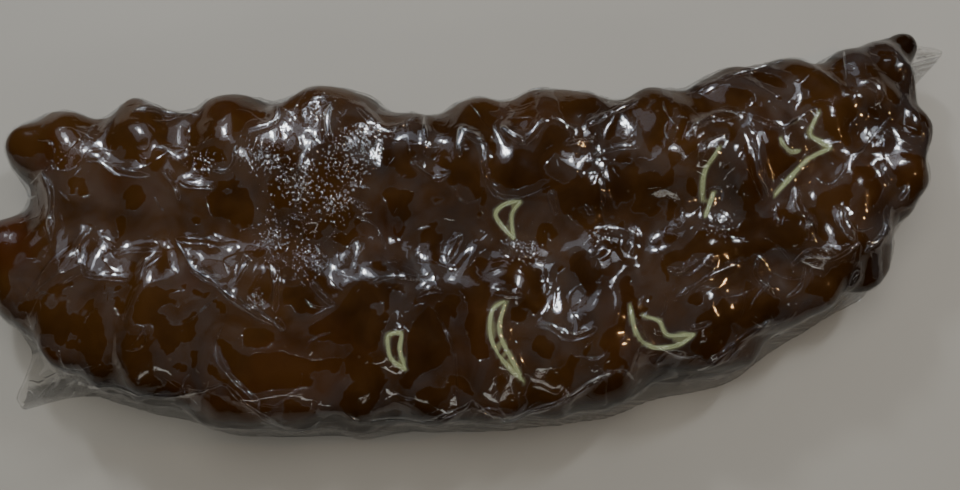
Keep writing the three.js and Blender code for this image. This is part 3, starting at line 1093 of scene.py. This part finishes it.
class Drape:
    """A sheet on a square grid, drawn down onto a body, that slides over it until it lies tight."""

    EVEN_SHARE = 0.3
    SLANT_SHARE = 0.12
    STALE_SHARE = 0.25
    STALE_LEAST = 0.3 * MM
    CLOSE = 0.3 * MM
    MOST_PUSH = 3 * MM
    FASTEST = 1.5 * MM
    HOLD_REACH = 0.62
    FAR_AWAY = 9.0

    def __init__(self, body: BVHTree, centre: Vector, length: float, width: float, spacing: float,
                 clearance: float) -> None:
        """Lays the sheet out flat above the body.

        Args:
            body: what the sheet is drawn onto.
            centre: middle of the flat sheet.
            length: its size along X in metres.
            width: its size along Y in metres.
            spacing: side of a grid square.
            clearance: how far the sheet stays off the body and the floor.
        """
        self.body = body
        self.spacing = spacing
        self.clearance = clearance
        self.columns = round(length / spacing) + 1
        self.rows = round(width / spacing) + 1
        shape = bmesh.new()
        place = Matrix.Translation(centre) @ Matrix.Diagonal((length, width, 1, 1))
        bmesh.ops.create_grid(shape, x_segments=self.columns - 1, y_segments=self.rows - 1,
                              size=0.5, matrix=place)
        self.piece = make_object("film", shape)
        self.at = points_of(self.piece).reshape(self.rows, self.columns, 3)
        self.speed = np.zeros_like(self.at)
        self.nearest = np.zeros_like(self.at)
        self.outward = np.zeros_like(self.at)
        self.distance = np.zeros((self.rows, self.columns))
        self.asked_at = np.full_like(self.at, self.FAR_AWAY)
        self.held = np.zeros((self.rows, self.columns), dtype=bool)
        self.held_at = np.zeros_like(self.at)

    def look_up(self) -> None:
        """Finds the nearest point of the body again for each vertex that has moved far."""
        moved = np.linalg.norm(self.at - self.asked_at, axis=2)
        stale = moved > np.maximum(self.STALE_SHARE * self.distance, self.STALE_LEAST)
        for spot in zip(*np.nonzero(stale)):
            point = Vector(self.at[spot])
            near, normal, _, distance = self.body.find_nearest(point)
            away = point - near
            side = 1 if away.dot(normal) > 0 else -1
            self.nearest[spot] = near
            self.outward[spot] = away * (side / distance) if distance > self.CLOSE else normal
            self.distance[spot] = distance
        self.asked_at[stale] = self.at[stale]

    @staticmethod
    def _even_out(first: np.ndarray, second: np.ndarray, rest: float, share: float) -> None:
        """Moves two ranks of vertices towards their rest distance from each other."""
        apart = second - first
        length = np.sqrt(np.einsum("ijk,ijk->ij", apart, apart))
        move = (share * (1 - rest / np.maximum(length, 1e-9)))[:, :, None] * apart
        first += move
        second -= move

    def tighten(self, bend: float) -> None:
        """Evens out the sheet's threads once, along, across, on both slants and against bending."""
        at, side = self.at, self.spacing
        self._even_out(at[:, :-1], at[:, 1:], side, self.EVEN_SHARE)
        self._even_out(at[:-1], at[1:], side, self.EVEN_SHARE)
        self._even_out(at[:-1, :-1], at[1:, 1:], side * math.sqrt(2), self.SLANT_SHARE)
        self._even_out(at[:-1, 1:], at[1:, :-1], side * math.sqrt(2), self.SLANT_SHARE)
        self._even_out(at[:, :-2], at[:, 2:], 2 * side, bend)
        self._even_out(at[:-2], at[2:], 2 * side, bend)

    def normals(self) -> np.ndarray:
        """Returns the sheet's normals at its vertices."""
        across = np.cross(np.gradient(self.at, axis=1), np.gradient(self.at, axis=0))
        return across / np.maximum(np.linalg.norm(across, axis=2, keepdims=True), TINY)

    def keep_off(self) -> None:
        """Pushes the sheet out of the body and the floor."""
        gap = np.einsum("ijk,ijk->ij", self.at - self.nearest, self.outward)
        push = np.clip(self.clearance - gap, 0, self.MOST_PUSH)
        self.at += push[:, :, None] * self.outward
        self.at[:, :, 2] = np.maximum(self.at[:, :, 2], self.clearance)

    def draw_down(self, draw: Draw) -> None:
        """Lets the pressure of the air draw the sheet on."""
        for step in range(draw.steps):
            before = self.at.copy()
            move = self.speed * draw.drag - self.normals() * draw.pull
            pace = np.linalg.norm(move, axis=2, keepdims=True)
            self.at += move * np.minimum(1, self.FASTEST / np.maximum(pace, TINY))
            for _ in range(draw.passes):
                self.tighten(draw.bend)
            if step % 2 == 0:
                self.look_up()
            self.keep_off()
            self.at[self.held] = self.held_at[self.held]
            self.speed = self.at - before

    def hold(self, crests: list[tuple[Vector, float]]) -> None:
        """Lifts the vertices beside the crests onto them and holds them there.

        Args:
            crests: points along the crests, each with its height over the sheet in metres.
        """
        tree = search_tree([point for point, _ in crests])
        normals = self.normals()
        for spot in np.ndindex(self.rows, self.columns):
            point, index, distance = tree.find(Vector(self.at[spot]))
            if distance < self.HOLD_REACH * self.spacing:
                self.held[spot] = True
                self.held_at[spot] = Vector(point) + Vector(normals[spot]) * crests[index][1]

    def finish(self) -> bpy.types.Object:
        """Writes the sheet's shape to its object and returns it."""
        place_points(self.piece, self.at.reshape(-1, 3))
        return self.piece


def taper(share: float) -> float:
    """Returns how high a fold stands at a share of its length, against its full height."""
    return min(1.0, TAPER * share, TAPER * (1 - share)) ** 0.5


def crease_path(sheet: BVHTree, viewpoint: Viewpoint, crease: Crease, step: float) -> list[Vector]:
    """Walks a crease over the film on a smooth curve.

    Args:
        sheet: the film.
        viewpoint: the camera that the crease's pixels are seen from.
        crease: the crease.
        step: distance between two points in metres.

    Returns:
        Points on the film, or none if the crease misses it.
    """
    hits = [sheet.ray_cast(*viewpoint.ray(pixel))[0] for pixel in crease.pixels]
    corners = [hit for hit in hits if hit is not None]
    if len(corners) < 2:
        log.info("a crease at %s misses the film", crease.pixels[0])
        return []
    padded = [corners[0], *corners, corners[-1]]
    path = []
    for a, b, c, d in zip(padded, padded[1:], padded[2:], padded[3:]):
        steps = max(2, int((c - b).length / step))
        for t in (step / steps for step in range(steps)):
            path.append(0.5 * (2 * b + (c - a) * t + (2 * a - 5 * b + 4 * c - d) * t ** 2
                               + (3 * b - a - 3 * c + d) * t ** 3))
    path.append(corners[-1])
    return [sheet.find_nearest(point)[0] for point in path]


@dataclass(frozen=True)
class Corner:
    """A loose corner of the film, as a low tent between pixels of the photograph."""

    tip: Pixel
    sides: tuple[Pixel, Pixel]
    ridge: Pixel
    height: float


@dataclass(frozen=True)
class Froth:
    """A patch of small bubbles under the film, round a pixel of the photograph.

    Attributes:
        pixel: its middle.
        radius: its radius in pixels.
        bubbles: how many bubbles it has before crowding.
    """

    pixel: Pixel
    radius: float
    bubbles: int

    @property
    def strength(self) -> float:
        """How closely the bubbles stand, from 0 to 1."""
        return min(1.0, self.bubbles / self.radius ** 2 / FULL_FROTH)


CORNERS = (
    Corner((13, 411), ((38, 345), (110, 392)), (72, 366), 13 * MM),
    Corner((947, 52), ((878, 42), (905, 98)), (893, 66), 20 * MM),
)
FROTH = (
    Froth((265, 158), 24, 90),
    Froth((300, 185), 34, 150),
    Froth((350, 160), 34, 130),
    Froth((335, 205), 22, 60),
    Froth((205, 163), 20, 40),
    Froth((275, 235), 26, 70),
    Froth((310, 260), 24, 60),
    Froth((255, 300), 12, 20),
    Froth((372, 130), 16, 30),
    Froth((318, 112), 18, 44),
    Froth((372, 148), 14, 24),
    Froth((520, 250), 24, 30),
    Froth((600, 235), 20, 20),
    Froth((720, 225), 24, 24),
    Froth((60, 160), 20, 16),
)


@dataclass
class Film:
    """Clear film drawn tight over the flesh, with a low margin on the floor."""

    flesh: bpy.types.Object
    lips: list[bpy.types.Object]
    viewpoint: Viewpoint
    length: float = 470 * MM
    width: float = 245 * MM
    start_height: float = 57 * MM
    spacing: float = 1.6 * MM
    clearance: float = 0.4 * MM
    # The steps of the foot, each with its height and how far it stands out.
    foot: tuple[Span, ...] = ((3 * MM, 1.6 * MM), (8 * MM, 1.1 * MM), (14 * MM, 0.6 * MM))
    least_slope: float = 0.3
    form_voxel: float = 2.4 * MM
    form_smoothing: int = 5
    settle: Draw = Draw(90, 0.10 * MM, 0.03, 0.9)
    crease: Draw = Draw(24, 0.10 * MM, 0.01, 0.4)
    margin: float = 0.9 * MM
    margin_height: float = 2 * MM
    rim_height: float = 0.1 * MM
    rim_passes: int = 10
    free_span: Span = (1 * MM, 6 * MM)
    lift_reach: float = 6 * MM
    ripples: tuple[Lump, ...] = (Lump(20 * MM, 0.9 * MM, 11), Lump(9 * MM, 0.3 * MM, 12))
    ripple_width: float = 0.22
    sample_step: float = 0.4 * MM
    # How far from the edges of pockets the painted yellow-green reflection reaches.
    pocket_span: Span = (0.5 * MM, 2.2 * MM)
    froth_core: float = 0.3
    finish: FilmFinish = field(default_factory=FilmFinish)

    @property
    def bodies(self) -> list[bpy.types.Object]:
        """All that the film lies on."""
        return [self.flesh, *self.lips]

    def form(self) -> bpy.types.Object:
        """Makes what the film is drawn onto: the flesh, on a foot that fills its undercut.

        Returns:
            A scratch object.
        """
        shape = bmesh.new()
        for body in self.bodies:
            shape.from_mesh(body.data)
        points, normals = points_of(self.flesh), normals_of(self.flesh)
        normals[:, 2] = 0
        slope = np.linalg.norm(normals, axis=1, keepdims=True)
        sideways = normals / np.maximum(slope, self.least_slope)
        step = copy_object(self.flesh, "step")
        for height, spread in self.foot:
            flat = points + sideways * spread
            flat[:, 2] = np.where(points[:, 2] > height, height, 0)
            place_points(step, flat)
            shape.from_mesh(step.data)
        bpy.data.objects.remove(step)
        for corner in CORNERS:
            places = [self.viewpoint.on_level(pixel, 0) for pixel in (corner.tip, *corner.sides)]
            places += [place + Vector((0, 0, self.foot[0][0])) for place in places]
            places.append(self.viewpoint.on_level(corner.ridge, corner.height))
            tent = bmesh.new()
            bmesh.ops.convex_hull(tent, input=[tent.verts.new(place) for place in places])
            pour_in(shape, tent)
        form = make_object("form", shape)
        remesh(form, self.form_voxel, self.form_smoothing)
        return form

    def crests(self, sheet: BVHTree) -> list[tuple[Vector, float]]:
        """Lays the creases on the sheet.

        Args:
            sheet: the sheet before it is creased.

        Returns:
            Points along the crests, each with its height in metres.
        """
        samples = []
        for crease in CREASES:
            path = crease_path(sheet, self.viewpoint, crease, self.sample_step)
            for index, point in enumerate(path):
                samples.append((point, crease.kind.value.lift * MM * taper(index / len(path))))
        return samples

    def trim(self, film: bpy.types.Object, form: BVHTree) -> None:
        """Cuts the sheet round the foot, evens out the cut edge and closes the film underneath."""
        shape = bmesh.new()
        shape.from_mesh(film.data)
        gone = [vertex for vertex in shape.verts
                if vertex.co.z < self.margin_height
                and form.find_nearest(vertex.co)[3] > self.margin]
        bmesh.ops.delete(shape, geom=gone, context="VERTS")
        rim = [vertex for vertex in shape.verts if vertex.is_boundary]
        for _ in range(self.rim_passes):
            middles = []
            for vertex in rim:
                beside = [edge.other_vert(vertex).co for edge in vertex.link_edges
                          if edge.is_boundary]
                middles.append(sum(beside, Vector()) / len(beside))
            for vertex, middle in zip(rim, middles):
                vertex.co = vertex.co.lerp(middle, 0.5)
        for vertex in rim:
            vertex.co.z = self.rim_height
        bmesh.ops.holes_fill(shape, edges=[edge for edge in shape.edges if edge.is_boundary])
        bmesh.ops.recalc_face_normals(shape, faces=shape.faces)
        shape.to_mesh(film.data)
        shape.free()

    def clear_flesh(self, film: bpy.types.Object) -> None:
        """Rounds off the film a little and lifts it clear of the flesh wherever it is too close."""
        soften = film.modifiers.new("soften", "SMOOTH")
        soften.factor = 0.5
        soften.iterations = 1
        apply_modifiers(film)
        shells = [shell_of(body) for body in self.bodies]
        points = points_of(film)
        free = smooth_step(points[:, 2], *self.free_span)
        height = np.zeros(len(points))
        for lump in self.ripples:
            off_crest = np.abs(lumpy(points, lump.size, lump.seed)) / self.ripple_width
            height += (1 - np.minimum(1, off_crest)) * lump.height
        points += normals_of(film) * (height * free)[:, None]
        for index, point in enumerate(points):
            for shell in shells:
                near, normal, _, distance = shell.find_nearest(point)
                depth = (Vector(point) - near).dot(normal)
                if depth < self.clearance and distance < self.lift_reach:
                    points[index] += np.array(normal) * (self.clearance - depth)
        points[:, 2] = np.maximum(points[:, 2], self.rim_height)
        place_points(film, points)

    def note_flesh(self, film: bpy.types.Object, points: np.ndarray) -> None:
        """Writes on the film its gap to the flesh in millimetres, and how shut in it is, which sets
        the painted shade on its veil.

        Args:
            film: the film.
            points: its vertices.
        """
        shell = shell_of(self.flesh)
        hidden = self.flesh.data.attributes["hidden"].data
        faces = self.flesh.data.polygons
        gaps, shades = [], []
        for point in points:
            _, _, face, distance = shell.find_nearest(point)
            gaps.append((distance - self.clearance) / MM)
            shades.append(hidden[faces[face].vertices[0]].value)
        carry(film, "gap", np.where(points[:, 2] < 2 * self.rim_height, 0, gaps))
        carry(film, "hidden", shades)

    def note_pockets(self, film: bpy.types.Object, sheet: BVHTree, points: np.ndarray) -> None:
        """Writes on the film where the edges of its pockets run, which carry a painted yellow-green
        reflection.

        Args:
            film: the film.
            sheet: a search tree of its faces.
            points: its vertices.
        """
        edges = [point for crease in CREASES if crease.kind is Fold.POCKET
                 for point in crease_path(sheet, self.viewpoint, crease, self.sample_step)]
        tree = search_tree(edges)
        away = np.array([tree.find(Vector(point))[2] for point in points])
        carry(film, "pocket", 1 - smooth_step(away, *self.pocket_span))

    def note_froth(self, film: bpy.types.Object, sheet: BVHTree, points: np.ndarray) -> None:
        """Writes on the film how closely bubbles stand under it.

        Args:
            film: the film.
            sheet: a search tree of its faces.
            points: its vertices.
        """
        froth = np.zeros(len(points))
        for patch in FROTH:
            hit = sheet.ray_cast(*self.viewpoint.ray(patch.pixel))[0]
            off = np.linalg.norm(points - np.array(hit), axis=1)
            reach = patch.radius * self.viewpoint.metres_per_pixel
            fade = smooth_step(off, self.froth_core * reach, reach)
            froth = np.maximum(froth, patch.strength * (1 - fade))
        carry(film, "froth", froth)

    def build(self) -> bpy.types.Object:
        """Builds and dresses the film.

        Returns:
            The finished piece.
        """
        form = self.form()
        shell = shell_of(form)
        bpy.data.objects.remove(form)
        low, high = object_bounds()
        centre = Vector(((low[0] + high[0]) / 2, (low[1] + high[1]) / 2, self.start_height))
        drape = Drape(shell, centre, self.length, self.width, self.spacing, self.clearance)
        drape.draw_down(self.settle)
        drape.hold(self.crests(shell_of(drape.finish())))
        drape.draw_down(self.crease)
        film = drape.finish()
        self.trim(film, shell)
        self.clear_flesh(film)
        points, sheet = points_of(film), shell_of(film)
        self.note_flesh(film, points)
        self.note_pockets(film, sheet, points)
        self.note_froth(film, sheet, points)
        dress(film, self.finish, shadow=False)
        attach(film, BODY)
        return film


@dataclass
class Ridges:
    """The sharp ridges of the film's folds: each a narrow tent swept along its crease."""

    film: bpy.types.Object
    viewpoint: Viewpoint
    name: str = "film_folds"
    step: float = 0.8 * MM
    sunk: float = 0.3 * MM
    uneven_size: float = 6 * MM
    uneven_middle: float = 0.8
    uneven_share: float = 0.45
    rounding_passes: int = 4
    most_lean: float = 0.6
    end_shift: float = 0.3
    base_level: float = -0.01
    base_drop: float = 0.3
    floor_gap: float = 0.1 * MM
    flank_power: float = 2.2
    crest_power: float = 1.35
    sides: int = 8
    shortest: int = 4
    loose: int = 130
    loose_floor: float = 6 * MM
    loose_points: tuple[int, int] = (8, 26)
    first_turn: float = 0.05
    turn_drift: float = 0.025
    seed: int = 5
    finish: FilmFinish = field(default_factory=FilmFinish)

    def wander(self, sheet: BVHTree, dice: random.Random) -> list[Vector]:
        """Walks a short crease from a random place on the film, in a direction that drifts."""
        start = dice.choice(self.film.data.vertices)
        at, up = start.co.copy(), start.normal.copy()
        if at.z < self.loose_floor:
            return []
        ahead = up.orthogonal().normalized()
        ahead.rotate(Quaternion(up, dice.uniform(0, math.tau)))
        path = [at]
        turn = dice.gauss(0, self.first_turn)
        for _ in range(dice.randint(*self.loose_points)):
            at, up, _, _ = sheet.find_nearest(at + ahead * self.step)
            turn += dice.gauss(0, self.turn_drift)
            ahead = (ahead - up * ahead.dot(up)).normalized()
            ahead.rotate(Quaternion(up, turn))
            path.append(at)
        return path

    def course(self, sheet: BVHTree,
               path: list[Vector]) -> tuple[np.ndarray, np.ndarray, np.ndarray]:
        """Rounds off a path and finds how a ridge stands on it.

        Args:
            sheet: the film.
            path: points along the crease.

        Returns:
            For each point its place, its direction off the film and its direction across the path.
        """
        line = np.array([tuple(point) for point in path])
        ups = np.array([tuple(sheet.find_nearest(point)[1]) for point in path])
        for _ in range(self.rounding_passes):
            line[1:-1] = (line[:-2] + 2 * line[1:-1] + line[2:]) / 4
            ups[1:-1] = (ups[:-2] + 2 * ups[1:-1] + ups[2:]) / 4
        across = np.cross(np.gradient(line, axis=0), ups)
        across /= np.maximum(np.linalg.norm(across, axis=1, keepdims=True), TINY)
        ups /= np.maximum(np.linalg.norm(ups, axis=1, keepdims=True), TINY)
        return line, ups, across

    def ridge(self, sheet: BVHTree, path: list[Vector], shape: FoldShape,
              dice: random.Random) -> bmesh.types.BMesh:
        """Sweeps one ridge.

        Args:
            sheet: the film.
            path: points along the crease.
            shape: its size.
            dice: source of its unevenness.

        Returns:
            A closed bmesh.
        """
        count = len(path)
        line, ups, across = self.course(sheet, path)
        shift = dice.uniform(0, 100)
        full = []
        for index in range(count):
            spot = Vector((shift, index * self.step / self.uneven_size, 0))
            size = self.uneven_middle + self.uneven_share * noise.noise(spot)
            full.append(taper((index + self.end_shift) / count) * size)
        lean = dice.uniform(-self.most_lean, self.most_lean)
        tube = bmesh.new()
        ring = bmesh.ops.create_circle(tube, segments=self.sides, radius=1)["verts"]
        edges = list(dict.fromkeys(edge for vertex in ring for edge in vertex.link_edges))
        bmesh.ops.spin(tube, geom=ring + edges, axis=(0, 0, 1), cent=(0, 0, 0), dvec=(0, 0, 1),
                       angle=0, steps=count - 1, use_duplicate=False)
        bmesh.ops.holes_fill(tube, edges=[edge for edge in tube.edges if edge.is_boundary])
        for vertex in tube.verts:
            index = min(count - 1, round(vertex.co.z))
            aside = math.copysign(abs(vertex.co.x) ** self.flank_power, vertex.co.x)
            on_top = vertex.co.y > self.base_level
            rise = (1 - abs(aside)) ** self.crest_power if on_top else -self.base_drop
            height = shape.height * MM
            high = (height * full[index] + self.sunk) * rise - self.sunk
            wide = shape.half_width * MM * full[index] * aside + lean * height * max(rise, 0)
            vertex.co = Vector(line[index] + across[index] * wide + ups[index] * high)
        bmesh.ops.recalc_face_normals(tube, faces=tube.faces)
        return tube

    def build(self) -> bpy.types.Object:
        """Builds and dresses the ridges.

        Returns:
            The finished piece.
        """
        sheet = shell_of(self.film)
        dice = random.Random(self.seed)
        paths = [(crease_path(sheet, self.viewpoint, crease, self.step), crease.kind)
                 for crease in CREASES]
        paths += [(self.wander(sheet, dice), Fold.LOOSE) for _ in range(self.loose)]
        whole = bmesh.new()
        for path, kind in paths:
            if len(path) < self.shortest:
                continue
            one = self.ridge(sheet, path, kind.value, dice)
            # Ridges along the edges of pockets carry the mark for the painted yellow-green
            # reflection.
            pour_in(whole, one, pocket=float(kind is Fold.POCKET))
        piece = make_object(self.name, whole)
        points = points_of(piece)
        points[:, 2] = np.maximum(points[:, 2], self.floor_gap)
        place_points(piece, points)
        dress(piece, self.finish, shadow=False)
        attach(piece, BODY)
        return piece


@dataclass
class Bubbles:
    """Small bubbles caught under the film, in patches."""

    film: bpy.types.Object
    viewpoint: Viewpoint
    name: str = "film_bubbles"
    smallest: float = 0.22 * MM
    largest: float = 0.55 * MM
    crowding: float = 1.7
    spread: float = 0.42
    seed: int = 9
    finish: FilmFinish = FilmFinish(name="trapped_bubble", least_mirror=0.3, roughness=0.15)

    def build(self) -> bpy.types.Object:
        """Builds and dresses the bubbles.

        Returns:
            The finished piece.
        """
        sheet = shell_of(self.film)
        dice = random.Random(self.seed)
        whole = bmesh.new()
        for patch in FROTH:
            for _ in range(round(patch.bubbles * self.crowding)):
                pixel = tuple(middle + dice.gauss(0, self.spread) * patch.radius
                              for middle in patch.pixel)
                hit = sheet.ray_cast(*self.viewpoint.ray(pixel))[0]
                if hit is not None:
                    radius = self.smallest + (self.largest - self.smallest) * dice.random() ** 2
                    bubble = bmesh.new()
                    bmesh.ops.create_icosphere(bubble, subdivisions=2, radius=radius,
                                               matrix=Matrix.Translation(hit))
                    pour_in(whole, bubble)
        piece = make_object(self.name, whole)
        dress(piece, self.finish, shadow=False)
        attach(piece, BODY)
        return piece


@dataclass(frozen=True)
class Lamp:
    """One soft light, which shows in the film's mirror images unless mirrored is off."""

    name: str
    place: Place
    width: float
    height: float
    power: float
    colour: Colour
    mirrored: bool = True


@dataclass
class Studio:
    """A plain pale floor under soft lights."""

    floor_side: float = 8.0
    aim: Place = (0, 0, 0.02)
    lamps: tuple[Lamp, ...] = (
        Lamp("lamp_overhead", (-0.1, 0.1, 1.2), 1.1, 0.9, 9, (1.0, 0.98, 0.95), mirrored=False),
        Lamp("lamp_key", (-0.42, 0.72, 0.66), 0.07, 0.11, 2.9, (0.90, 0.95, 1.0)),
        Lamp("lamp_halo", (-0.43, 0.74, 0.68), 0.22, 0.28, 0.9, (0.78, 0.87, 1.0)),
        Lamp("lamp_window", (-0.45, 0.78, 0.72), 0.75, 0.65, 1.4, (0.70, 0.82, 1.0)),
        Lamp("lamp_right", (0.55, 0.48, 0.75), 0.06, 0.2, 2.2, (0.92, 0.96, 1.0)),
        Lamp("lamp_right_halo", (0.57, 0.50, 0.77), 0.25, 0.4, 0.9, (0.78, 0.87, 1.0)),
        Lamp("lamp_near", (0.1, -0.80, 0.65), 0.8, 0.08, 0.7, (1.0, 0.98, 0.9)),
        Lamp("lamp_warm", (0.70, 0.0, 0.55), 0.035, 0.035, 0.4, (1.0, 0.58, 0.26)),
    )
    sky: Colour = (0.55, 0.57, 0.6)
    sky_strength: float = 0.2

    def lay_floor(self) -> None:
        """Makes the floor."""
        shape = bmesh.new()
        bmesh.ops.create_grid(shape, x_segments=1, y_segments=1, size=self.floor_side / 2)
        floor = make_object("floor", shape)
        floor.data.materials.append(FloorFinish().material())
        floor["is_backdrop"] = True

    def hang_lamps(self) -> None:
        """Makes the lamps and turns them to the model."""
        for lamp in self.lamps:
            light = bpy.data.lights.new(lamp.name, "AREA")
            light.shape = "RECTANGLE"
            light.size, light.size_y = lamp.width, lamp.height
            light.energy = lamp.power
            light.color = lamp.colour
            stand = bpy.data.objects.new(lamp.name, light)
            stand.location = lamp.place
            stand.visible_glossy = lamp.mirrored
            down = Vector(self.aim) - Vector(lamp.place)
            stand.rotation_euler = down.to_track_quat("-Z", "Y").to_euler()
            bpy.context.collection.objects.link(stand)

    def open_sky(self) -> None:
        """Makes the dim sky, which lights the model but isn't mirrored."""
        world = bpy.data.worlds.new("sky")
        world.use_nodes = True
        back = world.node_tree.nodes["Background"]
        back.inputs["Color"].default_value = (*self.sky, 1)
        back.inputs["Strength"].default_value = self.sky_strength
        world.cycles_visibility.glossy = False
        bpy.context.scene.world = world

    def build(self) -> None:
        """Makes the floor, the lamps and the sky."""
        self.lay_floor()
        self.hang_lamps()
        self.open_sky()


def report(piece: bpy.types.Object) -> None:
    """Logs a finished piece."""
    triangles = sum(len(face.vertices) - 2 for face in piece.data.polygons)
    log.info("%s: %d triangles", piece.name, triangles)


def main() -> None:
    """Builds every piece in order."""
    viewpoint = Viewpoint()
    viewpoint.build()
    Studio().build()
    flesh = Flesh().build()
    lips = [Opening("mouth", -1, 11).build(), Opening("vent", 1, 9).build()]
    film = Film(flesh, lips, viewpoint).build()
    ridges = Ridges(film, viewpoint).build()
    bubbles = Bubbles(film, viewpoint).build()
    for piece in (flesh, *lips, film, ridges, bubbles):
        report(piece)


if __name__ == "__main__":
    logging.basicConfig(level=logging.INFO, format="%(message)s")
    main()
